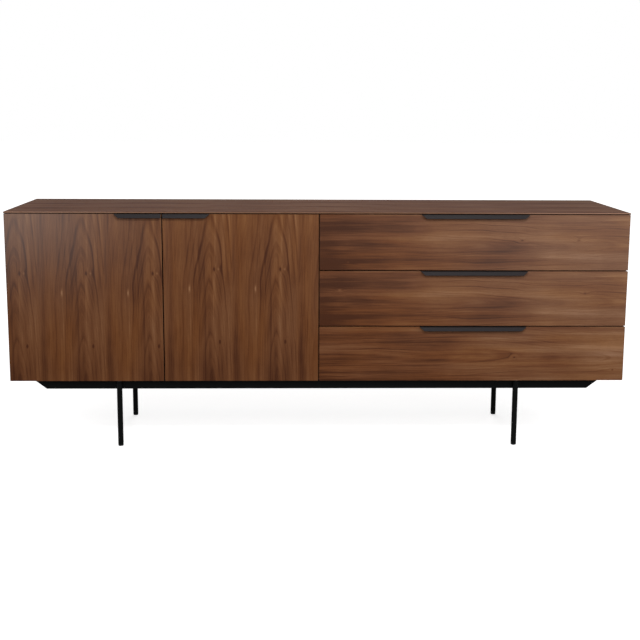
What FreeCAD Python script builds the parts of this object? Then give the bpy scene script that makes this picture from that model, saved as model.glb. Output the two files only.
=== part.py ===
import FreeCAD, Part
import math
import os

from FreeCAD import Vector

# Sideboard with two doors on the left, three drawers on the right and a recessed steel base.
# Lengths are in millimetres. X runs to the right, Y to the back and Z up.
# The origin lies on the floor, in the middle of the whole width and depth.

# Whole piece
overall_width = 2000.0
overall_height = 772.0
body_depth = 520.0
body_underside = 223.0

# Boards of the body
board = 19.0
top_edge = 3.0
top_lip = 5.5
back_thickness = 8.0
back_rebate = 9.5
back_gap = 1.0
shelf_thickness = 22.0
shelf_setback = 20.0
shelf_clearance = 1.0

# Doors and drawer fronts, square slabs that cover the front edges of the body
front_thickness = 20.0
front_gap = 3.5
front_end_inset = 1.0
drawer_names = ["top", "middle", "bottom"]

# Handles folded from sheet, let into the upper edge of a front and hooked over its inner face
handle_sheet = 1.5
handle_reach = 14.0
handle_lean = 3.0
handle_lip = 12.0
handle_flange = 18.0
handle_bend = 2.5
handle_taper = 14.0
door_handle_length = 148.0
drawer_handle_length = 345.0
handle_end_margin = 1.0
handle_seat_clearance = 0.1
handle_corner_match_share = 0.01

# Cup hinges, each with one pivot pin
hinge_axis_in = 10.0
hinge_axis_depth = 8.0
hinge_end_distance = 90.0
swing_clearance = 0.4
cup_radius = 17.5
cup_edge_distance = 4.0
cup_wall = 1.0
cup_bore_clearance = 0.1
cup_flange_margin = 2.0
cup_flange_length = 56.0
cup_flange_width = 18.0
pin_radius = 1.5
pin_end_gap = 0.1
pin_running_clearance = 0.05
pin_seat_clearance = 0.02
arm_eye_radius = 3.0
arm_half_width = 2.5
arm_neck_height = 9.0
arm_leg_height = 14.0
arm_floor_clearance = 0.4
arm_stop_clearance = 0.5
arm_leg_start = 18.0
arm_crank_end = 32.0
arm_leg_end = 62.0
plate_thickness = 5.5
plate_front = 28.0
plate_wing_thickness = 2.5
plate_wing_start = 44.0
plate_wing_end = 60.0
plate_wing_height = 44.0
plate_screw_spacing = 32.0
plate_screw_radius = 1.75
plate_screw_head_radius = 3.5
plate_screw_head = 2.0
plate_screw_length = 14.0

# Drawer boxes
box_side_thickness = 12.0
box_bottom_thickness = 8.0
box_lift = 30.0
box_top_drop = 24.0
box_bottom_height = 10.0
groove_depth = 6.0
groove_clearance = 0.2

# Ball bearing runners
runner_space = 12.7
runner_length = 450.0
runner_setback = 2.0
runner_steel = 1.2
runner_height = 45.0
runner_reach = 11.1
runner_lip = 2.5
slide_height = 28.0
slide_lip = 1.5
slide_tip = 2.6
cage_sheet = 0.6
cage_web_clearance = 0.4
cage_height = 35.9
cage_reach = 7.4
cage_length = 100.0
drawer_travel = 320.0

# Shelf pins
pin_peg_radius = 2.5
pin_peg_length = 9.0
pin_hole_clearance = 0.1
pin_hole_depth = 10.0
pin_tongue_length = 9.0
pin_tongue_width = 8.0
pin_tongue_thickness = 2.5
pin_inset = 60.0
pin_row_pitch = 32.0

# Steel base under the body
rail_height = 33.0
rail_flange = 25.0
rail_steel = 2.5
rail_end_run = 44.0
rail_end_inset = 112.0
end_plate_steel = 2.5
cross_rail_width = 40.0
cross_rail_leg_distance = 150.0

# Legs, their plugs and glides
leg_radius = 9.0
leg_wall = 1.5
front_leg_setback = 21.0
rear_leg_setback = 416.0
leg_end_inset = 238.0
leg_top_gap = 3.0
plug_cap = 1.5
plug_length = 42.0
plug_clearance = 0.05
glide_height = 4.0
glide_side_inset = 0.5
glide_peg_length = 12.0
glide_edge = 1.0

# Screws of the base
leg_screw_radius = 2.5
leg_screw_hole_clearance = 0.1
leg_screw_head_radius = 4.25
leg_screw_head = 5.0
leg_screw_drop_shares = [0.36, 0.72]
leg_screw_tip_gap = 3.0
base_screw_radius = 2.0
base_screw_head_radius = 4.0
base_screw_head = 3.0
base_screw_length = 16.0
base_screw_hole_clearance = 0.1
base_screw_shares = [-0.9, -0.3, 0.3, 0.9]

# Bumper pads between the body and the fronts
bumper_radius = 3.0
bumper_front_clearance = 0.3
bumper_from_meeting_edge = 40.0
bumper_end_distance = 20.0

# How far a cutting body runs past what it cuts
overrun = 5.0

# Places worked out from the sizes above
face_y = handle_reach - (body_depth + handle_reach) / 2
back_y = face_y + body_depth
front_back_y = face_y + front_thickness
axis_to_back = front_thickness - hinge_axis_depth
carcass_gap = math.hypot(hinge_axis_in, axis_to_back) - axis_to_back + swing_clearance
carcass_y = front_back_y + carcass_gap
inner_back_y = back_y - back_thickness
half_width = overall_width / 2
inner_x = half_width - board
divider_x = board / 2
floor_z = body_underside + board
ceiling_z = overall_height - board
fronts_top = overall_height - top_edge - front_gap
fronts_half = half_width - front_end_inset
door_height = fronts_top - body_underside
drawer_count = len(drawer_names)
drawer_front_height = (door_height - front_gap * (drawer_count - 1)) / drawer_count
door_width = (fronts_half - front_gap / 2 - front_gap) / 2
hinge_axis_y = face_y + hinge_axis_depth
rail_half_length = half_width - rail_end_inset
leg_half_spacing = rail_half_length - leg_end_inset
cross_rail_spacing = leg_half_spacing - cross_rail_leg_distance


def box(x0, x1, y0, y1, z0, z1):
    """A block between two corners."""
    return Part.makeBox(x1 - x0, y1 - y0, z1 - z0, Vector(x0, y0, z0))


def prism(points, length):
    """A closed outline pushed along a vector."""
    outline = Part.makePolygon(points + [points[0]])
    return Part.Face(outline).extrude(length)


def prism_x(outline, x0, x1):
    """An outline of (y, z) points, from x0 to x1."""
    return prism([Vector(x0, y, z) for y, z in outline], Vector(x1 - x0, 0, 0))


def prism_y(outline, y0, y1):
    """An outline of (x, z) points, from y0 to y1."""
    return prism([Vector(x, y0, z) for x, z in outline], Vector(0, y1 - y0, 0))


def rod(start, end, radius):
    """A round bar between two points."""
    along = end - start
    return Part.makeCylinder(radius, along.Length, start, along)


def mirrored(shape):
    """The same piece on the other side of the middle of the sideboard."""
    return shape.mirror(Vector(0, 0, 0), Vector(1, 0, 0))


def joined(shapes):
    """Several bodies as one piece, with no seams on flat faces."""
    whole = shapes[0]
    for shape in shapes[1:]:
        whole = whole.fuse(shape)
    return whole.removeSplitter()


def save(node, solids):
    """One STEP file for a piece, or for a group of like pieces."""
    shape = solids[0] if len(solids) == 1 else Part.makeCompound(solids)
    shape.exportStep("parts/" + node + ".step")


# Top, bottom, sides, divider and backs
def make_top_panel():
    """The top, with a thin chamfered lip over the fronts and mitred to the sides behind them."""
    section = [
        (face_y, overall_height),
        (face_y, overall_height - top_edge),
        (face_y + top_lip - top_edge, overall_height - top_lip),
        (carcass_y, overall_height - top_lip),
        (carcass_y, ceiling_z),
        (inner_back_y, ceiling_z),
        (inner_back_y, ceiling_z + back_rebate),
        (back_y, ceiling_z + back_rebate),
        (back_y, overall_height),
    ]
    panel = prism_x(section, -half_width, half_width)
    mitre = prism_y(
        [(half_width, overall_height), (half_width, ceiling_z), (inner_x, ceiling_z)],
        carcass_y,
        back_y,
    )
    return panel.cut(mitre).cut(mirrored(mitre))


def make_bottom_panel():
    """The bottom, mitred to the sides, with the rebate for the backs."""
    section = [
        (carcass_y, body_underside),
        (carcass_y, floor_z),
        (inner_back_y, floor_z),
        (inner_back_y, floor_z - back_rebate),
        (back_y, floor_z - back_rebate),
        (back_y, body_underside),
    ]
    panel = prism_x(section, -half_width, half_width)
    mitre = prism_y(
        [(half_width, body_underside), (half_width, floor_z), (inner_x, floor_z)],
        carcass_y,
        back_y,
    )
    panel = panel.cut(mitre).cut(mirrored(mitre))
    for y in rail_screw_rows():
        for x in base_screw_places():
            hole_top = body_underside + base_screw_length - rail_steel
            hole_radius = base_screw_radius + base_screw_hole_clearance
            panel = panel.cut(rod(Vector(x, y, body_underside), Vector(x, y, hole_top), hole_radius))
    return panel


def make_side_panel():
    """The right side, mitred at both ends, with the rebate for the back."""
    outline = [
        (half_width, body_underside),
        (half_width, overall_height),
        (inner_x, ceiling_z),
        (inner_x, floor_z),
    ]
    panel = prism_y(outline, carcass_y, back_y)
    rebate = box(
        inner_x,
        inner_x + back_rebate,
        inner_back_y,
        back_y,
        floor_z - back_rebate,
        ceiling_z + back_rebate,
    )
    return panel.cut(rebate)


def make_back_panel():
    """The right back, which lies in the rebates and meets the other on the divider."""
    return box(
        back_gap / 2,
        inner_x + back_rebate,
        inner_back_y,
        back_y,
        floor_z - back_rebate,
        ceiling_z + back_rebate,
    )


def make_divider():
    """The upright between the cupboard and the drawers."""
    return box(-divider_x, divider_x, carcass_y, inner_back_y, floor_z, ceiling_z)


# Shelf and the pins that it lies on
shelf_front = carcass_y + shelf_setback
shelf_back = inner_back_y - shelf_clearance
shelf_z = (floor_z + ceiling_z - shelf_thickness) / 2
pin_axis_z = shelf_z - pin_tongue_thickness / 2
pin_rows = [shelf_front + pin_inset, shelf_back - pin_inset]


def make_shelf():
    """The loose shelf of the cupboard."""
    return box(
        -inner_x + shelf_clearance,
        -divider_x - shelf_clearance,
        shelf_front,
        shelf_back,
        shelf_z,
        shelf_z + shelf_thickness,
    )


def make_shelf_pin(wall_x, side, y):
    """A round peg in the wall, with a flat tongue under the shelf."""
    peg = rod(
        Vector(wall_x - side * pin_peg_length, y, pin_axis_z),
        Vector(wall_x, y, pin_axis_z),
        pin_peg_radius,
    )
    tip_x = wall_x + side * pin_tongue_length
    tongue = box(
        min(wall_x, tip_x),
        max(wall_x, tip_x),
        y - pin_tongue_width / 2,
        y + pin_tongue_width / 2,
        shelf_z - pin_tongue_thickness,
        shelf_z,
    )
    return joined([peg, tongue])


def pin_holes(wall_x, side):
    """Three heights of holes for the shelf pins, drilled from one wall's face."""
    holes = []
    for y in pin_rows:
        for step in (-1, 0, 1):
            z = pin_axis_z + step * pin_row_pitch
            holes.append(
                rod(
                    Vector(wall_x, y, z),
                    Vector(wall_x - side * pin_hole_depth, y, z),
                    pin_peg_radius + pin_hole_clearance,
                )
            )
    return holes


def cut_all(shape, tools):
    """A piece with every tool taken out of it."""
    for tool in tools:
        shape = shape.cut(tool)
    return shape


# Hinges, worked out for a door whose hinge edge is at its left
neck_length = axis_to_back + cup_wall + arm_half_width + arm_stop_clearance
cup_centre_in = cup_edge_distance + cup_radius
cup_floor_y = hinge_axis_y - arm_eye_radius - arm_floor_clearance - cup_wall
hinge_heights = [body_underside + hinge_end_distance, fronts_top - hinge_end_distance]


def make_strip(points, half_width_of_strip, z, height):
    """A bar of even width that follows points in plan, rounded at each."""
    pieces = []
    for point in points:
        centre = Vector(point[0], point[1], z - height / 2)
        pieces.append(Part.makeCylinder(half_width_of_strip, height, centre))
    for first, second in zip(points, points[1:]):
        run = Vector(second[0] - first[0], second[1] - first[1], 0)
        across = Vector(-run.y, run.x, 0).normalize() * half_width_of_strip
        start = Vector(first[0], first[1], z - height / 2)
        corners = [start + across, start - across, start - across + run, start + across + run]
        pieces.append(prism(corners, Vector(0, 0, height)))
    return joined(pieces)


def make_arm(axis_x, side, wall_x, z):
    """A cast arm from the pin in the cup, out of its mouth and back along the wall."""
    outer_x = axis_x + side * neck_length
    rear_x = wall_x + side * (plate_thickness + arm_half_width)
    elbow = (outer_x, hinge_axis_y)
    crank_start = (outer_x, hinge_axis_y + arm_leg_start)
    crank_end = (rear_x, hinge_axis_y + arm_crank_end)
    rear_end = (rear_x, hinge_axis_y + arm_leg_end)
    neck = make_strip([(axis_x, hinge_axis_y), elbow, crank_start], arm_half_width, z, arm_neck_height)
    leg = make_strip([crank_start, crank_end, rear_end], arm_half_width, z, arm_leg_height)
    eye = make_strip([(axis_x, hinge_axis_y)], arm_eye_radius, z, arm_neck_height)
    arm = joined([neck, leg, eye])
    bore = Part.makeCylinder(
        pin_radius + pin_running_clearance,
        arm_neck_height,
        Vector(axis_x, hinge_axis_y, z - arm_neck_height / 2),
    )
    return arm.cut(bore)


def plate_screw_points(wall_x, z):
    """The two places on a wall where one plate is screwed."""
    y = hinge_axis_y + (plate_wing_start + plate_wing_end) / 2
    return [Vector(wall_x, y, z + way * plate_screw_spacing / 2) for way in (-1, 1)]


def make_plate(side, wall_x, z):
    """The plate on the wall, with a raised middle for the arm and two screwed wings."""
    reach = wall_x + side * plate_thickness
    wing = wall_x + side * plate_wing_thickness
    middle = box(
        min(wall_x, reach),
        max(wall_x, reach),
        hinge_axis_y + plate_front,
        hinge_axis_y + arm_leg_end,
        z - arm_leg_height / 2,
        z + arm_leg_height / 2,
    )
    wings = box(
        min(wall_x, wing),
        max(wall_x, wing),
        hinge_axis_y + plate_wing_start,
        hinge_axis_y + plate_wing_end,
        z - plate_wing_height / 2,
        z + plate_wing_height / 2,
    )
    plate = joined([middle, wings])
    out = Vector(side * plate_wing_thickness, 0, 0)
    return cut_all(plate, [rod(p, p + out, plate_screw_radius) for p in plate_screw_points(wall_x, z)])


def make_plate_screws(side, wall_x, z):
    """The screws of one plate."""
    screws = []
    for point in plate_screw_points(wall_x, z):
        seat = point + Vector(side * plate_wing_thickness, 0, 0)
        tip = seat - Vector(side * plate_screw_length, 0, 0)
        crown = seat + Vector(side * plate_screw_head, 0, 0)
        shank = rod(tip, seat, plate_screw_radius)
        head = rod(seat, crown, plate_screw_head_radius)
        screws.append(joined([shank, head]))
    return screws


def plate_screw_holes(side, wall_x):
    """The holes in one wall for the screws of both its plates."""
    depth = Vector(side * (plate_screw_length - plate_wing_thickness), 0, 0)
    holes = []
    for z in hinge_heights:
        for point in plate_screw_points(wall_x, z):
            holes.append(rod(point - depth, point, plate_screw_radius))
    return holes


def make_cup(edge_x, side, z):
    """A round cup let into the door, with a flange on its inner face and two holes for the pin."""
    centre_x = edge_x + side * cup_centre_in
    bowl = rod(Vector(centre_x, cup_floor_y, z), Vector(centre_x, front_back_y, z), cup_radius)
    rim = rod(
        Vector(centre_x, front_back_y, z),
        Vector(centre_x, front_back_y + cup_wall, z),
        cup_radius + cup_flange_margin,
    )
    wings = box(
        centre_x - cup_flange_width / 2,
        centre_x + cup_flange_width / 2,
        front_back_y,
        front_back_y + cup_wall,
        z - cup_flange_length / 2,
        z + cup_flange_length / 2,
    )
    hollow = rod(
        Vector(centre_x, cup_floor_y + cup_wall, z),
        Vector(centre_x, front_back_y + cup_wall + overrun, z),
        cup_radius - cup_wall,
    )
    axis_x = edge_x + side * hinge_axis_in
    pin_hole = rod(
        Vector(axis_x, hinge_axis_y, z - cup_radius),
        Vector(axis_x, hinge_axis_y, z + cup_radius),
        pin_radius + pin_seat_clearance,
    )
    return joined([bowl, rim, wings]).cut(hollow).cut(pin_hole)


def make_hinge_pin(edge_x, side, z):
    """The pin, whose ends lie in the wall of the cup and are dressed to its round."""
    axis_x = edge_x + side * hinge_axis_in
    pin = rod(
        Vector(axis_x, hinge_axis_y, z - cup_radius),
        Vector(axis_x, hinge_axis_y, z + cup_radius),
        pin_radius,
    )
    centre_x = edge_x + side * cup_centre_in
    round_of_cup = rod(
        Vector(centre_x, cup_floor_y, z),
        Vector(centre_x, front_back_y, z),
        cup_radius - pin_end_gap,
    )
    return pin.common(round_of_cup)


# Doors and drawer fronts
def make_front(x0, x1, z0, z1, seat_x0, seat_x1):
    """A square slab, with the seat of its handle let into the upper edge."""
    slab = box(x0, x1, face_y, front_back_y, z0, z1)
    floor = z1 - handle_sheet
    inner_bend = handle_bend - handle_sheet
    seat = [
        (face_y - overrun, floor),
        (front_back_y - inner_bend, floor),
        (front_back_y + overrun, floor - inner_bend - overrun),
        (front_back_y + overrun, z1 + overrun),
        (face_y - overrun, z1 + overrun),
    ]
    return slab.cut(prism_x(seat, seat_x0, seat_x1))


def door_handle_ends(x0, x1, side):
    """The end of a door's handle by the meeting edge, and its other end."""
    free_x = x1 - handle_end_margin if side > 0 else x0 + handle_end_margin
    return free_x, free_x - side * door_handle_length


def make_door(x0, x1, edge_x, side):
    """A door with the bores for its two hinge cups. The handle's seat runs out at the meeting edge."""
    free_x, far_x = door_handle_ends(x0, x1, side)
    seat_ends = [free_x + side * overrun, far_x - side * handle_seat_clearance]
    door = make_front(x0, x1, body_underside, fronts_top, min(seat_ends), max(seat_ends))
    centre_x = edge_x + side * cup_centre_in
    for z in hinge_heights:
        bore = rod(
            Vector(centre_x, cup_floor_y, z),
            Vector(centre_x, front_back_y, z),
            cup_radius + cup_bore_clearance,
        )
        door = door.cut(bore)
    return door


def make_handle(x0, x1, top_z, tapered_ends):
    """Sheet hooked over the inner face, laid flat in its seat and folded down in front as a lip."""
    lean_angle = math.atan2(handle_lean, handle_lip)
    lip_depth = handle_sheet / math.cos(lean_angle)
    lip_y = face_y - handle_reach
    lip_z = top_z - handle_lip
    knee_y = lip_y + handle_lean
    knee_lean = handle_lean * handle_sheet / handle_lip
    under = top_z - handle_sheet
    hook_y = front_back_y + handle_sheet
    hook_z = top_z - handle_flange
    front_knee = (knee_y, top_z)
    front_knee_inside = (knee_y - knee_lean + lip_depth, under)
    rear_knee = (hook_y, top_z)
    rear_knee_inside = (front_back_y, under)
    section = [
        (lip_y, lip_z),
        front_knee,
        rear_knee,
        (hook_y, hook_z),
        (front_back_y, hook_z),
        rear_knee_inside,
        front_knee_inside,
        (lip_y + lip_depth, lip_z),
    ]
    sheet = prism_x(section, x0, x1)
    for corner in (front_knee, rear_knee):
        sheet = round_bend(sheet, corner, handle_bend)
    for corner in (front_knee_inside, rear_knee_inside):
        sheet = round_bend(sheet, corner, handle_bend - handle_sheet)
    for end_x, inward in tapered_ends:
        corner = prism_y(
            [
                (end_x - inward * overrun, top_z),
                (end_x, top_z),
                (end_x + inward * handle_taper, lip_z),
                (end_x + inward * handle_taper, lip_z - overrun),
                (end_x - inward * overrun, lip_z - overrun),
            ],
            lip_y - overrun,
            face_y,
        )
        sheet = sheet.cut(corner)
    return sheet


def round_bend(sheet, corner, radius):
    """The sheet with the edge that runs along X through a corner of its section rounded."""
    close = handle_sheet * handle_corner_match_share
    edges = []
    for edge in sheet.Edges:
        bounds = edge.BoundBox
        away = math.hypot(bounds.Center.y - corner[0], bounds.Center.z - corner[1])
        if max(bounds.YLength, bounds.ZLength, away) < close:
            edges.append(edge)
    return sheet.makeFillet(radius, edges)


# Drawer boxes
box_rear_y = carcass_y + runner_setback + runner_length
box_left_x = divider_x + runner_space
box_right_x = inner_x - runner_space


def drawer_levels(index):
    """The underside and top of a drawer's front, and of its box."""
    front_top = fronts_top - index * (drawer_front_height + front_gap)
    front_bottom = front_top - drawer_front_height
    return front_bottom, front_top, front_bottom + box_lift, front_top - box_top_drop


def bottom_groove(index):
    """The groove round the box for its bottom, as one block."""
    box_bottom = drawer_levels(index)[2]
    return box(
        box_left_x + box_side_thickness - groove_depth,
        box_right_x - box_side_thickness + groove_depth,
        front_back_y - groove_depth,
        box_rear_y,
        box_bottom + box_bottom_height,
        box_bottom + box_bottom_height + box_bottom_thickness + groove_clearance,
    )


def drawer_handle_ends():
    """The two ends of a drawer's handle, in the middle of the front."""
    start = (front_gap / 2 + fronts_half - drawer_handle_length) / 2
    return start, start + drawer_handle_length


def make_drawer_front(index):
    """A drawer's front, with the groove for the bottom in its inner face."""
    front_bottom, front_top = drawer_levels(index)[:2]
    handle_x0, handle_x1 = drawer_handle_ends()
    seat_x0 = handle_x0 - handle_seat_clearance
    seat_x1 = handle_x1 + handle_seat_clearance
    front = make_front(front_gap / 2, fronts_half, front_bottom, front_top, seat_x0, seat_x1)
    return front.cut(bottom_groove(index))


def make_box_side(index):
    """The left side of a drawer's box, grooved for the bottom."""
    box_bottom, box_top = drawer_levels(index)[2:]
    side = box(
        box_left_x,
        box_left_x + box_side_thickness,
        front_back_y,
        box_rear_y,
        box_bottom,
        box_top,
    )
    return side.cut(bottom_groove(index))


def other_side_of_box(shape):
    """The same piece at the right of a drawer's box."""
    return shape.mirror(Vector((box_left_x + box_right_x) / 2, 0, 0), Vector(1, 0, 0))


def make_box_bottom(index):
    """The bottom, which lies in the grooves and runs out under the back."""
    box_bottom = drawer_levels(index)[2]
    slack = groove_depth - groove_clearance
    return box(
        box_left_x + box_side_thickness - slack,
        box_right_x - box_side_thickness + slack,
        front_back_y - slack,
        box_rear_y,
        box_bottom + box_bottom_height,
        box_bottom + box_bottom_height + box_bottom_thickness,
    )


def make_box_back(index):
    """The back of a drawer's box, which stands on the bottom between the sides."""
    box_bottom, box_top = drawer_levels(index)[2:]
    return box(
        box_left_x + box_side_thickness,
        box_right_x - box_side_thickness,
        box_rear_y - box_side_thickness,
        box_rear_y,
        box_bottom + box_bottom_height + box_bottom_thickness,
        box_top,
    )


# Runners, drawn beside the divider as distances from its face and from their middle height
runner_front_y = carcass_y + runner_setback


def both_halves(upper):
    """A whole outline from the points of its upper half."""
    lower = [(reach, -height) for reach, height in reversed(upper)]
    return upper + lower


def runner_bar(outline, index, y0, y1):
    """One bar of a runner beside the divider."""
    box_bottom, box_top = drawer_levels(index)[2:]
    middle_z = (box_bottom + box_top) / 2
    return prism_y([(divider_x + reach, middle_z + height) for reach, height in outline], y0, y1)


def cabinet_outline():
    """The channel on the wall, with lips that keep the balls in."""
    top = runner_height / 2
    return both_halves(
        [
            (0, top),
            (runner_reach, top),
            (runner_reach, top - runner_steel - runner_lip),
            (runner_reach - runner_steel, top - runner_steel - runner_lip),
            (runner_reach - runner_steel, top - runner_steel),
            (runner_steel, top - runner_steel),
        ]
    )


def slide_outline():
    """The channel on the drawer, which faces the wall inside the other one."""
    top = slide_height / 2
    return both_halves(
        [
            (runner_space, top),
            (slide_tip + runner_steel, top),
            (slide_tip + runner_steel, top + slide_lip),
            (slide_tip, top + slide_lip),
            (slide_tip, top - runner_steel),
            (runner_space - runner_steel, top - runner_steel),
        ]
    )


def cage_outline():
    """The folded strip that spaces the balls between the two channels."""
    web = runner_steel + cage_web_clearance
    top = cage_height / 2
    return both_halves(
        [
            (web, top),
            (web + cage_reach, top),
            (web + cage_reach, top - cage_sheet),
            (web + cage_sheet, top - cage_sheet),
        ]
    )


def make_runner_pair(outline, index, y0, y1):
    """The left and right bars of one drawer."""
    left = runner_bar(outline, index, y0, y1)
    return [left, other_side_of_box(left)]


# Legs, with a plug in the top of each tube and a glide in its foot
leg_top = body_underside - leg_top_gap - plug_cap
front_leg_y = face_y + front_leg_setback
rear_leg_y = face_y + rear_leg_setback
tube_bore = leg_radius - leg_wall


def leg_screw_heights():
    """The heights of the two screws of a leg."""
    return [body_underside - share * rail_height for share in leg_screw_drop_shares]


def leg_screw_shank(x, y, back, z, radius, past):
    """A cross bore from the rail's inner face into a leg. back is the way to the rail."""
    start = Vector(x, y + back * (leg_radius + rail_steel), z)
    end = Vector(x, y - back * past, z)
    return rod(start, end, radius)


def make_leg(x, y, back):
    """A tube that stands from its glide to its plug, drilled for two screws."""
    tube = rod(Vector(x, y, glide_height), Vector(x, y, leg_top), leg_radius)
    tube = tube.cut(rod(Vector(x, y, glide_height), Vector(x, y, leg_top), tube_bore))
    radius = leg_screw_radius + leg_screw_hole_clearance
    return cut_all(tube, [leg_screw_shank(x, y, back, z, radius, 0) for z in leg_screw_heights()])


def make_plug(x, y, back):
    """A solid plug with a cap, which the screws of the leg are driven into."""
    plug = joined(
        [
            rod(Vector(x, y, leg_top - plug_length), Vector(x, y, leg_top), tube_bore - plug_clearance),
            rod(Vector(x, y, leg_top), Vector(x, y, leg_top + plug_cap), leg_radius),
        ]
    )
    depth = tube_bore - leg_screw_tip_gap
    return cut_all(
        plug, [leg_screw_shank(x, y, back, z, leg_screw_radius, depth) for z in leg_screw_heights()]
    )


def make_glide(x, y):
    """A plastic foot with a rounded lower edge, pressed into the tube."""
    foot = rod(Vector(x, y, 0), Vector(x, y, glide_height), leg_radius - glide_side_inset)
    lower_edge = min(foot.Edges, key=lambda edge: edge.BoundBox.ZMax)
    foot = foot.makeFillet(glide_edge, [lower_edge])
    peg = rod(
        Vector(x, y, glide_height),
        Vector(x, y, glide_height + glide_peg_length),
        tube_bore - plug_clearance,
    )
    return joined([foot, peg])


def make_leg_screws(x, y, back):
    """The two screws that hold a leg to its rail."""
    depth = tube_bore - leg_screw_tip_gap
    screws = []
    for z in leg_screw_heights():
        shank = leg_screw_shank(x, y, back, z, leg_screw_radius, depth)
        seat = Vector(x, y + back * (leg_radius + rail_steel), z)
        crown = seat + Vector(0, back * leg_screw_head, 0)
        screws.append(joined([shank, rod(seat, crown, leg_screw_head_radius)]))
    return screws


# Base frame
front_rail_y = front_leg_y + leg_radius
rear_rail_y = rear_leg_y - leg_radius
rail_bottom = body_underside - rail_height
plate_offset = end_plate_steel / math.sin(math.atan2(rail_height, rail_end_run))


def rail_screw_rows():
    """The depths at which the two rails are screwed to the body."""
    middle = (rail_steel + rail_flange) / 2
    return [front_rail_y + middle, rear_rail_y - middle]


def base_screw_places():
    """The places of the screws along a rail."""
    return [share * rail_half_length for share in base_screw_shares]


def slanted_block(half_bottom, y0, y1):
    """A block as long as the base, whose ends slope outwards to the top."""
    half_top = half_bottom + rail_end_run
    outline = [
        (-half_bottom, rail_bottom),
        (half_bottom, rail_bottom),
        (half_top, body_underside),
        (-half_top, body_underside),
    ]
    return prism_y(outline, y0, y1)


def make_rail(web_y, inward, leg_y):
    """A folded channel with its web to the outside, drilled for the legs and the body."""
    web = web_y + inward * rail_steel
    edge = web_y + inward * rail_flange
    outline = [
        (web_y, rail_bottom),
        (edge, rail_bottom),
        (edge, rail_bottom + rail_steel),
        (web, rail_bottom + rail_steel),
        (web, body_underside - rail_steel),
        (edge, body_underside - rail_steel),
        (edge, body_underside),
        (web_y, body_underside),
    ]
    rail = prism_x(outline, -half_width, half_width)
    length = slanted_block(rail_half_length - plate_offset, min(web_y, edge), max(web_y, edge))
    rail = rail.common(length)
    radius = leg_screw_radius + leg_screw_hole_clearance
    holes = []
    for x in (-leg_half_spacing, leg_half_spacing):
        for z in leg_screw_heights():
            holes.append(leg_screw_shank(x, leg_y, inward, z, radius, 0))
    row_y = web_y + inward * (rail_steel + rail_flange) / 2
    for x in base_screw_places():
        bottom = Vector(x, row_y, body_underside - rail_steel)
        top = Vector(x, row_y, body_underside)
        holes.append(rod(bottom, top, base_screw_radius + base_screw_hole_clearance))
    return cut_all(rail, holes)


def make_end_plates():
    """The two sloping plates that close the ends of the base."""
    whole = slanted_block(rail_half_length, front_rail_y, rear_rail_y)
    inside = slanted_block(rail_half_length - plate_offset, front_rail_y, rear_rail_y)
    plates = whole.cut(inside).Solids
    return sorted(plates, key=lambda plate: plate.CenterOfMass.x)


def make_cross_rail(x):
    """A channel between the two rails, open below."""
    top = body_underside - rail_steel
    bottom = rail_bottom + rail_steel
    half = cross_rail_width / 2
    outline = [
        (x - half, bottom),
        (x - half, top),
        (x + half, top),
        (x + half, bottom),
        (x + half - rail_steel, bottom),
        (x + half - rail_steel, top - rail_steel),
        (x - half + rail_steel, top - rail_steel),
        (x - half + rail_steel, bottom),
    ]
    return prism_y(outline, front_rail_y + rail_steel, rear_rail_y - rail_steel)


def make_base_screw(x, y):
    """A screw up through a rail's flange into the bottom of the body."""
    seat = Vector(x, y, body_underside - rail_steel)
    tip = seat + Vector(0, 0, base_screw_length)
    crown = seat - Vector(0, 0, base_screw_head)
    return joined([rod(seat, tip, base_screw_radius), rod(crown, seat, base_screw_head_radius)])


# Bumper pads
def make_bumper(x, z):
    """A pad on the front edge of the body, just short of the front behind it."""
    start = Vector(x, front_back_y + bumper_front_clearance, z)
    return rod(start, Vector(x, carcass_y, z), bumper_radius)


def bumper_points():
    """One pad by each door's meeting edge, and two behind each drawer's front."""
    low_z = body_underside + board / 2
    meeting_x = -front_gap / 2 - door_width - front_gap / 2
    points = [(meeting_x + way * bumper_from_meeting_edge, low_z) for way in (-1, 1)]
    for index in range(drawer_count):
        z = drawer_levels(index)[0] + bumper_end_distance
        points.append((front_gap / 2 + (divider_x - front_gap / 2) / 2, z))
        points.append((half_width - board / 2, z))
    return points


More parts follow.
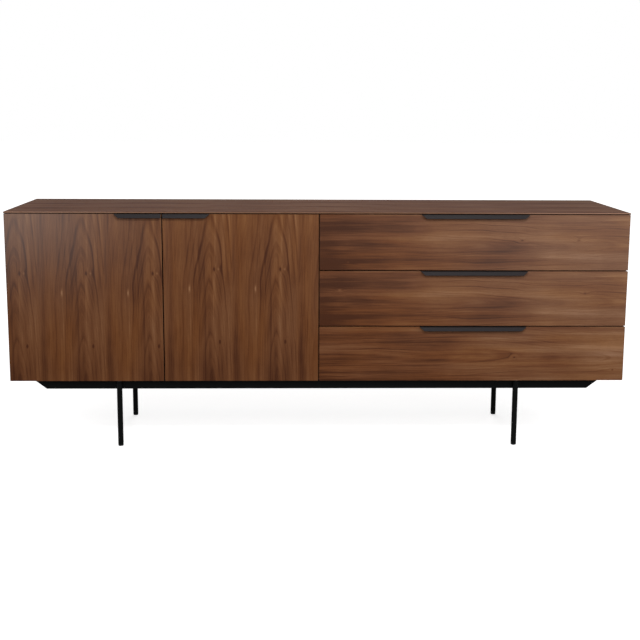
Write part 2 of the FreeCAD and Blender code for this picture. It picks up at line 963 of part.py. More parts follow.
def build():
    """Every piece in its own file."""
    os.makedirs("parts", exist_ok=True)

    left_wall = -inner_x
    divider_wall = -divider_x
    left_holes = pin_holes(left_wall, 1) + plate_screw_holes(1, left_wall)
    divider_holes = pin_holes(divider_wall, -1) + plate_screw_holes(-1, divider_wall)
    save("top_panel", [make_top_panel()])
    save("bottom_panel", [make_bottom_panel()])
    save("left_side_panel", [cut_all(mirrored(make_side_panel()), left_holes)])
    save("right_side_panel", [make_side_panel()])
    save("centre_divider", [cut_all(make_divider(), divider_holes)])
    save("left_back_panel", [mirrored(make_back_panel())])
    save("right_back_panel", [make_back_panel()])
    save("shelf", [make_shelf()])
    shelf_pins = []
    for wall_x, side in ((left_wall, 1), (divider_wall, -1)):
        for y in pin_rows:
            shelf_pins.append(make_shelf_pin(wall_x, side, y))
    save("shelf_pins", shelf_pins)

    save("base_front_rail", [make_rail(front_rail_y, 1, front_leg_y)])
    save("base_rear_rail", [make_rail(rear_rail_y, -1, rear_leg_y)])
    left_plate, right_plate = make_end_plates()
    save("base_left_end", [left_plate])
    save("base_right_end", [right_plate])
    save("base_cross_rails", [make_cross_rail(step * cross_rail_spacing) for step in (-1, 0, 1)])
    legs = {
        "front_left_leg": (-leg_half_spacing, front_leg_y, 1),
        "front_right_leg": (leg_half_spacing, front_leg_y, 1),
        "rear_left_leg": (-leg_half_spacing, rear_leg_y, -1),
        "rear_right_leg": (leg_half_spacing, rear_leg_y, -1),
    }
    for node, place in legs.items():
        save(node, [make_leg(*place)])
    save("leg_plugs", [make_plug(*place) for place in legs.values()])
    save("foot_glides", [make_glide(x, y) for x, y, _ in legs.values()])
    save("leg_screws", [screw for place in legs.values() for screw in make_leg_screws(*place)])
    base_screws = [make_base_screw(x, y) for y in rail_screw_rows() for x in base_screw_places()]
    save("base_screws", base_screws)
    save("bumpers", [make_bumper(x, z) for x, z in bumper_points()])

    left_edge = -fronts_half
    right_edge = -front_gap / 2
    doors = {
        "left": (left_edge, left_edge + door_width, left_edge, 1, left_wall),
        "right": (right_edge - door_width, right_edge, right_edge, -1, divider_wall),
    }
    plates = []
    arms = []
    plate_screws = []
    for name, (x0, x1, edge_x, side, wall_x) in doors.items():
        save(name + "_door", [make_door(x0, x1, edge_x, side)])
        free_x, far_x = door_handle_ends(x0, x1, side)
        handle = make_handle(min(free_x, far_x), max(free_x, far_x), fronts_top, [(far_x, side)])
        save(name + "_door_handle", [handle])
        save(name + "_hinge_cups", [make_cup(edge_x, side, z) for z in hinge_heights])
        save(name + "_hinge_pins", [make_hinge_pin(edge_x, side, z) for z in hinge_heights])
        for z in hinge_heights:
            axis_x = edge_x + side * hinge_axis_in
            plates.append(make_plate(side, wall_x, z))
            arms.append(make_arm(axis_x, side, wall_x, z))
            plate_screws += make_plate_screws(side, wall_x, z)
    save("hinge_plates", plates)
    save("hinge_arms", arms)
    save("hinge_plate_screws", plate_screws)

    cabinet_runners = []
    handle_x0, handle_x1 = drawer_handle_ends()
    runner_rear_y = runner_front_y + runner_length
    cage_y1 = (runner_front_y + runner_rear_y + drawer_travel / 2 + cage_length) / 2
    for index, name in enumerate(drawer_names):
        front_top = drawer_levels(index)[1]
        save(name + "_drawer_front", [make_drawer_front(index)])
        ends = [(handle_x0, 1), (handle_x1, -1)]
        save(name + "_drawer_handle", [make_handle(handle_x0, handle_x1, front_top, ends)])
        save(name + "_drawer_left_side", [make_box_side(index)])
        save(name + "_drawer_right_side", [other_side_of_box(make_box_side(index))])
        save(name + "_drawer_back", [make_box_back(index)])
        save(name + "_drawer_bottom", [make_box_bottom(index)])
        slides = make_runner_pair(slide_outline(), index, runner_front_y, runner_rear_y)
        save(name + "_drawer_runners", slides)
        cages = make_runner_pair(cage_outline(), index, cage_y1 - cage_length, cage_y1)
        save(name + "_ball_cages", cages)
        cabinet_runners += make_runner_pair(cabinet_outline(), index, runner_front_y, runner_rear_y)
    save("cabinet_runners", cabinet_runners)


build()
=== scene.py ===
import math
import bpy
from functools import partial
from mathutils import Matrix, Vector


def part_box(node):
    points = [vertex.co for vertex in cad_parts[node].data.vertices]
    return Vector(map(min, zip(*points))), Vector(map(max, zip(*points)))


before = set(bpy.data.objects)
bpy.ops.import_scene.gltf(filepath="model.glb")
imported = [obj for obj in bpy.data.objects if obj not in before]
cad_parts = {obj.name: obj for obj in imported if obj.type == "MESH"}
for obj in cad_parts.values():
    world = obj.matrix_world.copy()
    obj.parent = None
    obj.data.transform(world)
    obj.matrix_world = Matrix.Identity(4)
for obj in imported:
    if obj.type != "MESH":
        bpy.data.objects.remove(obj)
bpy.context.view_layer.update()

# Base frame
# Two folded steel channels, joined by sloping end plates and three cross rails.
# Welded, ground and powder coated in matt black.


def colour(red, green, blue):
    """A colour as a screen shows it, turned into the strength of its light."""
    return tuple(((part / 255 + 0.055) / 1.055) ** 2.4 for part in (red, green, blue))


def shader_of(material):
    """The shader that a finish is built around."""
    return material.node_tree.nodes["Principled BSDF"]


def finish(name, base, roughness, specular=0.5, metallic=0.0):
    """A new finish, with the values that are the same all over."""
    material = bpy.data.materials.new(name)
    material.use_nodes = True
    shader = shader_of(material)
    shader.inputs["Base Color"].default_value = (*base, 1)
    shader.inputs["Roughness"].default_value = roughness
    shader.inputs["Specular IOR Level"].default_value = specular
    shader.inputs["Metallic"].default_value = metallic
    return material


def node(material, kind, inputs, **settings):
    """One node of a finish. Each input is a number, or the output of another node."""
    added = material.node_tree.nodes.new(kind)
    for key, value in settings.items():
        setattr(added, key, value)
    for key, value in inputs.items():
        if isinstance(value, bpy.types.NodeSocket):
            material.node_tree.links.new(value, added.inputs[key])
        else:
            added.inputs[key].default_value = value
    return added


def maths(material, operation, *values):
    """The result of one sum on numbers or outputs."""
    return node(material, "ShaderNodeMath", dict(enumerate(values)), operation=operation).outputs[0]


def place(material, stretch=(1, 1, 1)):
    """Where a point lies on the piece, in metres, stretched along each axis."""
    here = node(material, "ShaderNodeTexCoord", {}).outputs["Object"]
    return node(material, "ShaderNodeMapping", {"Vector": here, "Scale": stretch}).outputs[0]


def mottle(material, vector, scale, detail=3.0, roughness=0.5):
    """Soft irregular spots, from 0 to 1, nearly all of them between mottle_low and mottle_high."""
    inputs = {"Vector": vector, "Scale": scale, "Detail": detail, "Roughness": roughness}
    return node(material, "ShaderNodeTexNoise", inputs).outputs[0]


def spread(material, value, low, high, to_low=0.0, to_high=1.0):
    """A value stretched from one range to another, and held at its ends."""
    inputs = {"Value": value, "From Min": low, "From Max": high, "To Min": to_low, "To Max": to_high}
    return node(material, "ShaderNodeMapRange", inputs).outputs[0]


def ramp(material, value, stops):
    """Colours along a value, given as pairs of place and colour."""
    added = node(material, "ShaderNodeValToRGB", {"Fac": value})
    while len(added.color_ramp.elements) < len(stops):
        added.color_ramp.elements.new(0.5)
    for element, (at, tone) in zip(added.color_ramp.elements, stops):
        element.position = at
        element.color = (*tone, 1)
    return added.outputs[0]


def two_shades(material, spots, dark, light):
    """A colour that goes with soft spots from the dark shade to the light one."""
    return ramp(material, spots, [(mottle_low, dark), (mottle_high, light)])


def blend_colours(material, share, first, second):
    """A colour that goes from the first to the second with a share from 0 to 1."""
    return node(material, "ShaderNodeMix", {0: share, 6: first, 7: second}, data_type="RGBA").outputs[2]


def connect(material, **sources):
    """Links outputs to the shader's own inputs, whose words are joined by underscores."""
    for name, source in sources.items():
        material.node_tree.links.new(source, shader_of(material).inputs[name.replace("_", " ")])


def relief(material, height, depth, strength):
    """The shading normal of a surface with that relief, whose depth is in metres."""
    inputs = {"Height": height, "Distance": depth, "Strength": strength}
    return node(material, "ShaderNodeBump", inputs).outputs[0]


def facing(material, axes):
    """How squarely a surface faces along an axis, from -1 to 1. Two axes are multiplied."""
    here = node(material, "ShaderNodeTexCoord", {}).outputs["Normal"]
    parts = node(material, "ShaderNodeSeparateXYZ", {0: here}).outputs
    result = parts[axes[0]]
    for axis in axes[1:]:
        result = maths(material, "MULTIPLY", result, parts[axis])
    return result


def coat(name, dark, light, bend, specular):
    """A powder coat: two shades in soft clouds, over the fine grain of the powder.

    Faces that point up, such as the tops of bends, are painted paler: a painted highlight."""
    material = finish(name, dark, roughness=0.5, specular=specular)
    cloud = mottle(material, place(material), scale=9)
    powder = mottle(material, place(material), scale=1400, detail=2.0)
    # How squarely a face points up sets the share of the painted highlight.
    thin = spread(material, facing(material, "Z"), low=0.25, high=0.8)
    connect(
        material,
        Base_Color=blend_colours(material, thin, two_shades(material, cloud, dark, light), (*bend, 1)),
        Roughness=spread(material, cloud, mottle_low, mottle_high, to_low=0.44, to_high=0.56),
        Normal=relief(material, powder, depth=0.00004, strength=0.7),
    )
    return material


def dress(name, material, edge=0.0):
    """Gives a CAD node its finish, and eases its sharp edges by a radius in metres."""
    weld_reach, ease_steps, sharp_degrees = 0.00001, 2, 35
    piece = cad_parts[name]
    piece.data.materials.clear()
    piece.data.materials.append(material)
    if edge:
        weld = piece.modifiers.new("weld", "WELD")
        weld.merge_threshold = weld_reach
        ease = piece.modifiers.new("ease", "BEVEL")
        ease.width = edge
        ease.segments = ease_steps
        ease.limit_method = "ANGLE"
        ease.angle_limit = math.radians(sharp_degrees)


mottle_low, mottle_high = 0.3, 0.7
# The base's coat is darker than the handles', partly as painted shade under the body; its third colour is a
# painted highlight on faces that point up.
base_coat = coat("base_powder_coat", colour(6, 7, 7), colour(11, 12, 12), colour(14, 15, 15), specular=0.03)
for name in ("base_front_rail", "base_rear_rail", "base_left_end", "base_right_end", "base_cross_rails"):
    dress(name, base_coat)

# Legs
# Four straight steel tubes, coated like the base, each with a moulded plug in its top.
# They stand on short plastic glides that are pressed into the tubes.

for name in ("front_left_leg", "front_right_leg", "rear_left_leg", "rear_right_leg"):
    dress(name, base_coat)
black_plastic = finish("black_moulded_plastic", colour(24, 24, 25), roughness=0.6, specular=0.3)
mould_grain = mottle(black_plastic, place(black_plastic), scale=2600, detail=2.0)
connect(
    black_plastic,
    Base_Color=two_shades(black_plastic, mould_grain, colour(16, 16, 17), colour(26, 26, 26)),
    Normal=relief(black_plastic, mould_grain, depth=0.00003, strength=0.6),
)
for name in ("leg_plugs", "foot_glides"):
    dress(name, black_plastic)

# Screws of the base and legs
# Button and pan head screws that hold the base to the body and the legs to the rails.
# Zinc plated steel, a little blue, with brushed heads.

brush_marks = (900, 900, 60)
zinc = finish("zinc_plated_steel", colour(176, 178, 180), roughness=0.34, metallic=1.0)
plating_cloud = mottle(zinc, place(zinc), scale=60, detail=4.0)
brushed = mottle(zinc, place(zinc, stretch=brush_marks), scale=1)
connect(
    zinc,
    Base_Color=two_shades(zinc, plating_cloud, colour(160, 163, 168), colour(190, 190, 188)),
    Roughness=spread(zinc, brushed, mottle_low, mottle_high, to_low=0.26, to_high=0.42),
    Normal=relief(zinc, brushed, depth=0.00002, strength=0.5),
)
for name in ("leg_screws", "base_screws"):
    dress(name, zinc)

# Body
# Boards veneered in walnut, mitred at the corners, so that the grain runs up one side,
# along the top and down the other. The veneer is oiled and has a low sheen.

# Each texture of the wood is its spots to the metre across, along and through a leaf, a lift
# that sets it apart from the others, its detail and its roughness.
wood_textures = {
    "bend": (5, 2.4, 0, 0.0, 3.0, 0.5),
    "sway": (15, 3.0, 0, 7.0, 2.0, 0.5),
    "clear": (9, 3.0, 0, 23.0, 2.0, 0.5),
    "broad": (24, 1.2, 12, 3.0, 3.0, 0.5),
    "cloud": (9, 4.5, 5, 11.0, 3.0, 0.5),
    "streak": (75, 1.8, 60, 17.0, 3.0, 0.72),
    "fibre": (430, 9, 430, 5.0, 3.0, 0.6),
    "hue": (14, 2.4, 5, 31.0, 2.0, 0.5),
    "pore": (1500, 60, 1500, 2.0, 1.0, 0.5),
}
tone_shares = {"broad": 0.46, "cloud": 0.42, "streak": 0.44}
fibre_share = 0.17
leaf_step = 0.07


class Leaves:
    """Leaves of veneer laid side by side, each sliced next to the other from one flitch.

    The grain runs along one axis and the leaves lie side by side across another. A leaf is its
    width, the place of one leaf's middle, and how far the arches lie from it."""

    def __init__(self, material, along, across, leaf, shift, seed):
        calc = partial(maths, material)
        width, middle, offset = leaf
        here = node(material, "ShaderNodeTexCoord", {}).outputs["Object"]
        places = node(material, "ShaderNodeSeparateXYZ", {0: here}).outputs
        leaves = calc("DIVIDE", calc("SUBTRACT", places[across], middle - width / 2), width)
        self.material = material
        self.seed = seed
        self.number = calc("FLOOR", leaves)
        self.run = calc("ADD", places[along], shift)
        self.depth = places[(set("XYZ") - {along, across}).pop()]
        self.inside = calc("MULTIPLY_ADD", calc("SUBTRACT", leaves, self.number), width, -width / 2 - offset)

    def texture(self, name):
        """One of the wood's textures, which changes slowly from leaf to leaf."""
        calc = partial(maths, self.material)
        across, along, through, lift, detail, roughness = wood_textures[name]
        leaf_lift = calc("MULTIPLY_ADD", self.number, leaf_step, lift)
        point = {
            0: calc("MULTIPLY_ADD", self.inside, across, lift),
            1: calc("MULTIPLY_ADD", self.depth, through, leaf_lift),
            2: calc("MULTIPLY_ADD", self.run, along, self.seed),
        }
        vector = node(self.material, "ShaderNodeCombineXYZ", point).outputs[0]
        return mottle(self.material, vector, 1, detail, roughness)

    def bands(self, opened, finer, lift, detail):
        """Bands of uneven width that follow the growth rings."""
        along_rings = maths(self.material, "MULTIPLY_ADD", opened, finer, self.seed + lift)
        inputs = {"W": along_rings, "Scale": 1.0, "Detail": detail}
        return node(self.material, "ShaderNodeTexNoise", inputs, noise_dimensions="1D").outputs[0]


def squared(material, value):
    """A value times itself."""
    return maths(material, "MULTIPLY", value, value)


def centred(material, value):
    """A value from 0 to 1, moved to lie about 0."""
    return maths(material, "SUBTRACT", value, 0.5)


def bell(material, square, fade):
    """1 where the square of a distance is 0, falling off smoothly around it."""
    return maths(material, "EXPONENT", maths(material, "MULTIPLY", square, -fade))


def off_centre(material, places, middle, reaches):
    """The square of the distance from a middle in two directions, counted in reaches."""
    calc = partial(maths, material)
    first, second = (
        calc("DIVIDE", calc("SUBTRACT", at, centre), reach)
        for at, centre, reach in zip(places, middle, reaches)
    )
    return calc("MULTIPLY_ADD", second, second, squared(material, first))


def arch_shades(leaves, arch, opened, wide, clear):
    """How much darker the arches' outlines are high up, and the wood within them low down."""
    crest_start, crest_rate = 16.2, 3.3
    outline_heights, heart_heights = (0.42, 0.62), (0.55, 0.3)
    arch_sides, heart_fade = (0.042, 0.075), 700.0
    calc = partial(maths, leaves.material)
    ease = partial(spread, leaves.material)
    wave = calc("COSINE", calc("MULTIPLY", calc("ADD", opened, crest_start), crest_rate))
    crest = squared(leaves.material, calc("MAXIMUM", wave, 0.0))
    high_up = calc("MULTIPLY", ease(leaves.run, *outline_heights), ease(clear, 0, 1, to_low=0.6))
    near_middle = ease(calc("ABSOLUTE", wide), *arch_sides, to_low=1.0, to_high=0.25)
    outlines = calc("MULTIPLY", crest, calc("MULTIPLY", high_up, near_middle))
    within = bell(leaves.material, squared(leaves.material, wide), heart_fade)
    hearts = calc("MULTIPLY", within, ease(leaves.run, *heart_heights))
    return calc("MULTIPLY_ADD", outlines, arch["outline"], calc("MULTIPLY", hearts, arch["heart"]))


def figure(leaves, arch, knots, fibre):
    """The tone of the wood, darker in its bands, its thin lines and its streaks.

    An arch is how fast the rings climb along the arches' middle line, how fast they bow away from
    it and how pointed that makes the arches, the rate of the bands, how strong the bands and the
    thin lines are, how dark the arches' outlines are, and how dark the wood in them gets low down.
    A knot is its place across and along, its size, how much paler or darker it is, and how many
    times longer than wide. The rings swell around it."""
    bend_reach, sway_reach, ring_start = 0.06, 0.14, 0.2
    swell_fade, heart_fade = 0.5, 7.0
    band_limit, band_balance = 0.05, 0.024
    material = leaves.material
    calc = partial(maths, material)
    wide = calc("MULTIPLY_ADD", centred(material, leaves.texture("bend")), bend_reach, leaves.inside)
    high = calc("MULTIPLY_ADD", centred(material, leaves.texture("sway")), sway_reach, leaves.run)
    rings = calc("MULTIPLY", squared(material, high), arch["climb"])
    rings = calc("MULTIPLY_ADD", squared(material, wide), arch["bow"], rings)
    rings = calc("MULTIPLY_ADD", calc("ABSOLUTE", wide), arch["tip"], rings)
    hearts = 0.0
    for at_across, at_along, size, shade, longer in knots:
        places, heart = (leaves.inside, leaves.run), (at_across, at_along)
        away = off_centre(material, places, heart, (size, size * longer))
        rings = calc("MULTIPLY_ADD", bell(material, away, swell_fade), size, rings)
        hearts = calc("MULTIPLY_ADD", bell(material, away, heart_fade), shade, hearts)

    opened = calc("DIVIDE", -arch["rate"], calc("ADD", rings, ring_start))
    clear = spread(material, leaves.texture("clear"), low=0.40, high=0.62)
    bands = centred(material, leaves.bands(opened, finer=1.0, lift=0.0, detail=2.0))
    bands = calc("MINIMUM", bands, band_limit)
    bands = calc("MULTIPLY", bands, spread(material, clear, 0, 1, to_low=0.5))
    thin = spread(material, leaves.bands(opened, finer=2.4, lift=40.0, detail=1.0), low=0.62, high=0.76)
    tone = calc("MULTIPLY_ADD", bands, arch["bands"], 0.5 + arch["bands"] * band_balance)
    for name, share in tone_shares.items():
        tone = calc("MULTIPLY_ADD", centred(material, leaves.texture(name)), share, tone)
    tone = calc("MULTIPLY_ADD", centred(material, fibre), fibre_share, tone)
    tone = calc("MULTIPLY_ADD", calc("MULTIPLY", thin, clear), -arch["lines"], tone)
    tone = calc("ADD", tone, hearts)
    if arch["outline"]:
        tone = calc("SUBTRACT", tone, arch_shades(leaves, arch, opened, wide, clear))
    return tone


def paint_over(material, share, tone):
    """Lays a colour over a finish's own colour, with a share from 0 to 1."""
    below = shader_of(material).inputs["Base Color"].links[0].from_socket
    connect(material, Base_Color=blend_colours(material, share, below, (*tone, 1)))


def wood(
    name, along, across, leaf, arch, tones, seed, knots=(), shift=0.0, drift=(0.0, 0.0), specular=0.08,
):
    """Wood in leaves, with open pores. Its four tones go from the darkest to the palest.

    shift moves its figure along the grain. The drift is how much paler it gets to the metre along the
    grain, and where it is even; it is partly the wood's own tone and partly painted light."""
    tone_places = (0.30, 0.45, 0.58, 0.76)
    warm_hue, cool_hue = (0.38, (1.0, 0.93, 0.76)), (0.62, (0.94, 0.94, 1.0))
    pore_dark, pore_sink = 0.35, 0.8
    material = finish(name, tones[1], roughness=0.55, specular=specular)
    calc = partial(maths, material)
    leaves = Leaves(material, along, across, leaf, shift, seed)
    fibre = leaves.texture("fibre")
    tone = figure(leaves, arch, knots, fibre)
    # Paler along the grain by the drift: partly the wood's own tone and partly painted light.
    paler, even_at = drift
    tone = calc("MULTIPLY_ADD", calc("SUBTRACT", leaves.run, even_at), paler, tone)
    stained = ramp(material, tone, list(zip(tone_places, tones)))
    tint = ramp(material, leaves.texture("hue"), [warm_hue, cool_hue])
    mixed = {0: 1.0, 6: stained, 7: tint}
    tinted = node(material, "ShaderNodeMix", mixed, data_type="RGBA", blend_type="MULTIPLY").outputs[2]
    pores = spread(material, leaves.texture("pore"), low=0.62, high=0.70)
    grain = calc("MULTIPLY_ADD", pores, -pore_sink, fibre)
    connect(
        material,
        Base_Color=tinted,
        Roughness=spread(material, tone, low=0.3, high=0.7, to_low=0.6, to_high=0.5),
        Normal=relief(material, grain, depth=0.00006, strength=0.5),
    )
    paint_over(material, calc("MULTIPLY", pores, pore_dark), tones[0])
    return material


def edge(material, axes, bare_at, full_at, tone):
    """Colours the edges that face along an axis, from bare to full as they face it more squarely."""
    paint_over(material, spread(material, facing(material, axes), bare_at, full_at), tone)


body_tones = (colour(66, 34, 17), colour(86, 50, 29), colour(98, 62, 38), colour(114, 78, 52))
level_arch = dict(
    climb=0.03, bow=14.0, tip=0.0, rate=9.0, bands=0.42, lines=0.15, outline=0.0, heart=0.0,
)
top_arch = dict(level_arch, bands=0.28, lines=0.05)
upright_arch = dict(
    climb=0.26, bow=26.0, tip=0.34, rate=5.6, bands=0.46, lines=0.05, outline=0.12, heart=0.1,
)
body_leaf = (0.18, 0.03, 0.02)
long_shift = 1.2
board_edge = 0.0005
side_walnut = wood("walnut_side", "Z", "Y", body_leaf, upright_arch, body_tones, seed=4.0)
for name in ("left_side_panel", "right_side_panel", "centre_divider"):
    dress(name, side_walnut, board_edge)
board_walnut = wood("walnut_boards", "X", "Y", body_leaf, level_arch, body_tones, seed=3.0, shift=long_shift)
dress("bottom_panel", board_walnut, board_edge)

# The front edge of the top is paler towards its ends, a painted highlight, and the slope under its lip is
# painted dark as shadow.
top_walnut = wood(
    "walnut_top", "X", "Y", body_leaf, top_arch, body_tones, seed=2.0, shift=long_shift, specular=0.02,
)
front_bare, front_full = -0.8, -0.92
edge(top_walnut, "Y", front_bare, front_full, colour(114, 84, 66))
# The slope under the lip is painted dark: painted shadow.
edge(top_walnut, "YZ", bare_at=0.42, full_at=0.48, tone=colour(30, 18, 12))
# A painted highlight on the front edge, stronger towards its ends.
highlight_from, highlight_full = 0.4, 0.9
top_places = node(top_walnut, "ShaderNodeSeparateXYZ", {0: place(top_walnut)}).outputs
highlight_to_the_ends = spread(top_walnut, maths(top_walnut, "ABSOLUTE", top_places["X"]), highlight_from, highlight_full)
on_the_edge = spread(top_walnut, facing(top_walnut, "Y"), front_bare, front_full)
paint_over(top_walnut, maths(top_walnut, "MULTIPLY", on_the_edge, highlight_to_the_ends), colour(140, 108, 90))
dress("top_panel", top_walnut, board_edge)

# Backs
# Two thin veneered boards in rebates, which meet on the divider.

back_leaf = (0.27, 0.5, 0.0)
back_walnut = wood("walnut_back", "X", "Z", back_leaf, level_arch, body_tones, seed=9.0, shift=long_shift)
for name in ("left_back_panel", "right_back_panel"):
    dress(name, back_walnut)

# Shelf and its pins
# A loose veneered board on four plated pins, which can be moved to other holes.

dress("shelf", board_walnut, board_edge)
dress("shelf_pins", zinc)

# Hinges
# Cup hinges of zinc plated steel: cups in the doors, and arms on screwed plates in the body.

for name in ("hinge_plates", "hinge_arms", "hinge_plate_screws"):
    dress(name, zinc)
for side in ("left", "right"):
    dress(side + "_hinge_cups", zinc)
    dress(side + "_hinge_pins", zinc)

# Doors
# Veneered slabs with upright grain, in leaves of about 210 mm from one flitch. Narrow arches
# stand one above the other in each leaf, with small knots that come back in every leaf.


def painted_sheen_patches(material):
    """Paints a grey sheen on the fronts softly towards the two upper corners: a painted sheen where the
    light falls on them.
    """
    sheen_grey, height_to_width = colour(152, 146, 144), 0.6
    sheen_corners = ((-1.0, 0.8, 0.22, 0.24), (0.95, 0.82, 0.4, 0.12))
    places = node(material, "ShaderNodeSeparateXYZ", {0: place(material)}).outputs
    for at_x, at_z, reach, share in sheen_corners:
        reaches = (reach / height_to_width, reach)
        away = off_centre(material, (places["X"], places["Z"]), (at_x, at_z), reaches)
        sheen_share = maths(material, "MULTIPLY", bell(material, away, fade=1.0), share)
        paint_over(material, sheen_share, sheen_grey)


def painted_gap_shade(material, sides):
    """Blackens a front's edges on the left or right, at -1 or 1: painted shade in the gaps between fronts.
    """
    gap_shade_from, gap_shade_full = 0.1, 0.3
    for side in sides:
        edge(material, "X", side * gap_shade_from, side * gap_shade_full, colour(9, 6, 5))


door_tones = (colour(61, 30, 12), colour(91, 54, 29), colour(107, 69, 41), colour(133, 95, 65))
door_knots = (
    (0.016, 0.575, 0.009, -0.34, 1.8),
    (0.030, 0.575, 0.009, 0.20, 1.2),
    (-0.064, 0.512, 0.007, 0.34, 4.0),
    (-0.062, 0.430, 0.004, 0.12, 60.0),
    (0.032, 0.338, 0.008, -0.34, 1.8),
)
door_leaf_width = 0.2115
door_arch_offset = 0.0335
front_edge = 0.0009
# Each door is the place of a leaf's middle, how far its figure is shifted, its drift, which is
# partly painted light, and the sides where its edges are blackened as painted gap shade.
doors = {
    "left_door": (-0.7935, 0.0, (0.0, 0.5), (1,)),
    "right_door": (-0.3855, -0.0145, (0.1, 0.42), (-1, 1)),
}
for name, (leaf_middle, shift, drift, gap_shade_sides) in doors.items():
    leaf = (door_leaf_width, leaf_middle, door_arch_offset)
    door_walnut = wood(
        "walnut_" + name, "Z", "X", leaf, upright_arch, door_tones, seed=1.0,
        knots=door_knots, shift=shift, drift=drift,
    )
    # Edges that meet other fronts are blackened as painted gap shade.
    painted_gap_shade(door_walnut, gap_shade_sides)
    # A painted sheen towards the upper corners.
    painted_sheen_patches(door_walnut)
    dress(name, door_walnut, front_edge)

# Drawer boxes
# Solid boxes of clear lacquered wood, with bottoms in grooves.

box_tones = (colour(160, 124, 88), colour(184, 150, 112), colour(202, 170, 132), colour(220, 192, 156))
box_leaf, floor_leaf = (0.13, 0.4, 0.0), (0.22, 0.0, 0.0)
long_wood = wood("drawer_side_wood", "Y", "Z", box_leaf, level_arch, box_tones, seed=12.0, shift=0.6)
cross_wood = wood("drawer_back_wood", "X", "Z", box_leaf, level_arch, box_tones, seed=14.0)
floor_wood = wood("drawer_floor_wood", "X", "Y", floor_leaf, level_arch, box_tones, seed=15.0)
drawers = ("top", "middle", "bottom")
for level in drawers:
    dress(level + "_drawer_left_side", long_wood, board_edge)
    dress(level + "_drawer_right_side", long_wood, board_edge)
    dress(level + "_drawer_back", cross_wood, board_edge)
    dress(level + "_drawer_bottom", floor_wood)

# Runners
# Rolled channels of zinc plated steel with balls between them, spaced by thin cages.

dress("cabinet_runners", zinc)
for level in drawers:
    dress(level + "_drawer_runners", zinc)
    dress(level + "_ball_cages", zinc)

# Drawer fronts
# Slabs like the doors, with the grain laid level. One leaf covers a front, with long gently
# curved lines, soft bands and a few small knots. The upper two fronts are neighbours in the flitch.

drawer_tones = (colour(60, 30, 12), colour(95, 56, 31), colour(112, 74, 46), colour(137, 100, 72))
drawer_leaf_width = 0.2
drawer_arch_offset = -0.012
# The drawer fronts get paler to the right, partly in their own tone and partly as painted light falling from
# the right.
drawer_drift = {"top": (0.24, 0.58), "middle": (0.24, 0.56), "bottom": (0.17, 0.46)}
drawer_seeds = {"top": 22.0, "middle": 22.05, "bottom": 27.0}
drawer_knots = {
    "top": (
        (0.020, 0.652, 0.007, -0.22, 1.5),
        (0.020, 0.835, 0.009, -0.2, 1.5),
        (-0.052, 0.092, 0.010, 0.16, 2.0),
    ),
    "middle": ((0.040, 0.066, 0.010, 0.14, 1.5), (0.030, 0.862, 0.008, -0.16, 1.5)),
    "bottom": ((0.0, 0.639, 0.006, -0.3, 1.3), (-0.042, 0.964, 0.006, -0.3, 1.3)),
}
for level in drawers:
    name = level + "_drawer_front"
    low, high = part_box(name)
    leaf = (drawer_leaf_width, (low.z + high.z) / 2, drawer_arch_offset)
    front_walnut = wood(
        "walnut_" + name, "X", "Z", leaf, level_arch, drawer_tones, seed=drawer_seeds[level],
        knots=drawer_knots[level], drift=drawer_drift[level],
    )
    # The left edge, which meets the right door, is blackened as painted gap shade.
    painted_gap_shade(front_walnut, (-1,))
    # A painted sheen towards the upper corners.
    painted_sheen_patches(front_walnut)
    dress(name, front_walnut, front_edge)

# Handles
# Sheet steel folded over the upper edge of a front, with a satin black coat.

# The handles' coat is paler than the base's, partly as painted light from above; its third colour is a
# painted highlight on faces that point up.
handle_coat = coat(
    "handle_powder_coat", colour(22, 18, 20), colour(29, 24, 26), colour(38, 34, 34), specular=0.12,
)
handle_edge = 0.0002
for front in ("left_door", "right_door", "top_drawer", "middle_drawer", "bottom_drawer"):
    dress(front + "_handle", handle_coat, handle_edge)

# Bumper pads
# Small clear pads on the front edges of the body, which the doors and drawers close on.

clear_pad = finish("clear_pad", colour(205, 204, 198), roughness=0.4)
pad_cloud = mottle(clear_pad, place(clear_pad), scale=300, detail=2.0)
connect(
    clear_pad,
    Base_Color=two_shades(clear_pad, pad_cloud, colour(196, 195, 188), colour(214, 213, 208)),
)
dress("bumpers", clear_pad)

# Floor, light and camera
# A pale floor in a white room, soft lamps above and in front, and the photograph's viewing
# angle. What shows behind the piece is white, and the floor keeps its shadow.


def shown_rays(material):
    """1 for what is seen directly, in a reflection or through glass, and 0 for the light that it gives."""
    path = node(material, "ShaderNodeLightPath", {}).outputs
    seen = maths(material, "MAXIMUM", path["Is Camera Ray"], path["Is Glossy Ray"])
    return maths(material, "MAXIMUM", seen, path["Is Transmission Ray"])


floor_reach = 30.0
corners = ((-1, -1), (1, -1), (1, 1), (-1, 1))
floor_mesh = bpy.data.meshes.new("floor")
floor_mesh.from_pydata([(x * floor_reach, y * floor_reach, 0) for x, y in corners], [], [(0, 1, 2, 3)])
floor = bpy.data.objects.new("floor", floor_mesh)
bpy.context.scene.collection.objects.link(floor)
floor_paint = finish("pale_floor", colour(225, 225, 225), roughness=0.9, specular=0.1)
floor_shown = shown_rays(floor_paint)
floor_cloud = mottle(floor_paint, place(floor_paint), scale=3)
lit_shade = (*colour(128, 126, 124), 1)
shown_shade = two_shades(floor_paint, floor_cloud, colour(236, 236, 236), colour(240, 240, 240))
connect(floor_paint, Base_Color=blend_colours(floor_paint, floor_shown, lit_shade, shown_shade))

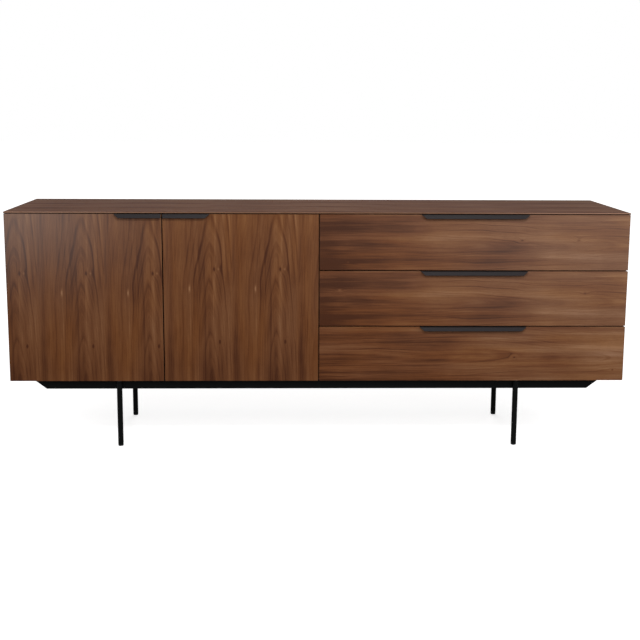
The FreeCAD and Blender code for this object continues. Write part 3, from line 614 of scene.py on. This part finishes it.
# The floor glows a little where it is seen, and more so further out, so that it ends in white.
distance = node(floor_paint, "ShaderNodeVectorMath", {0: place(floor_paint)}, operation="LENGTH").outputs
outward = spread(floor_paint, distance["Value"], low=0.9, high=3.0, to_low=0.7, to_high=0.95)
glow_level = maths(floor_paint, "MULTIPLY", floor_shown, outward)
glow = node(floor_paint, "ShaderNodeEmission", {"Color": (1, 1, 1, 1), "Strength": glow_level})
both = node(floor_paint, "ShaderNodeAddShader", {0: shader_of(floor_paint).outputs[0], 1: glow.outputs[0]})
floor_surface = floor_paint.node_tree.nodes["Material Output"].inputs["Surface"]
floor_paint.node_tree.links.new(both.outputs[0], floor_surface)
floor.data.materials.append(floor_paint)

room = bpy.data.worlds.new("room")
bpy.context.scene.world = room
room.use_nodes = True
room_light = room.node_tree.nodes["Background"]
room_light.inputs["Color"].default_value = (1, 1, 1, 1)
room_level = spread(room, shown_rays(room), 0.0, 1.0, to_low=0.3)
room.node_tree.links.new(room_level, room_light.inputs["Strength"])

# Each lamp is its place, its width and height, and its power in watts.
lamp_aim = Vector((0, -0.15, 0.6))
lamps = {
    "lamp_above": ((0.3, -2.6, 2.35), (2.0, 0.5), 42),
    "lamp_front": ((0.0, -3.4, 1.6), (1.6, 1.0), 38),
    "lamp_right": ((1.9, -1.5, 1.2), (0.8, 0.8), 11),
    "lamp_left": ((-1.9, -1.6, 1.2), (0.8, 0.8), 8),
    "lamp_back": ((0.0, 3.4, 1.6), (1.6, 1.0), 30),
}
for lamp_name, (spot, size, power) in lamps.items():
    lamp = bpy.data.lights.new(lamp_name, "AREA")
    lamp.shape = "RECTANGLE"
    lamp.size, lamp.size_y = size
    lamp.energy = power
    holder = bpy.data.objects.new(lamp_name, lamp)
    holder.location = spot
    holder.rotation_mode = "QUATERNION"
    holder.rotation_quaternion = (lamp_aim - Vector(spot)).to_track_quat("-Z", "Y")
    holder.visible_camera = False
    holder.visible_glossy = lamp_name != "lamp_back"
    bpy.context.scene.collection.objects.link(holder)

# The camera stands 4 m in front of the piece, looks a little down and is turned slightly right.
camera_place = Vector((-0.107, -4.043, 1.113))
camera_down, camera_turn, camera_roll = math.radians(10.296), math.radians(1.672), math.radians(0.302)
forward = Vector((
    math.sin(camera_turn) * math.cos(camera_down),
    math.cos(camera_turn) * math.cos(camera_down),
    -math.sin(camera_down),
))
level_right = Vector((math.cos(camera_turn), -math.sin(camera_turn), 0))
level_up = level_right.cross(forward)
right = level_right * math.cos(camera_roll) + level_up * math.sin(camera_roll)
up = level_up * math.cos(camera_roll) - level_right * math.sin(camera_roll)
lens = bpy.data.cameras.new("camera")
lens.sensor_width = 36
lens.lens = 67.04
lens.clip_end = 100
camera = bpy.data.objects.new("camera", lens)
camera.matrix_world = Matrix.Translation(camera_place) @ Matrix((right, up, -forward)).transposed().to_4x4()
bpy.context.scene.collection.objects.link(camera)
bpy.context.scene.camera = camera
bpy.context.scene.view_settings.view_transform = "Standard"
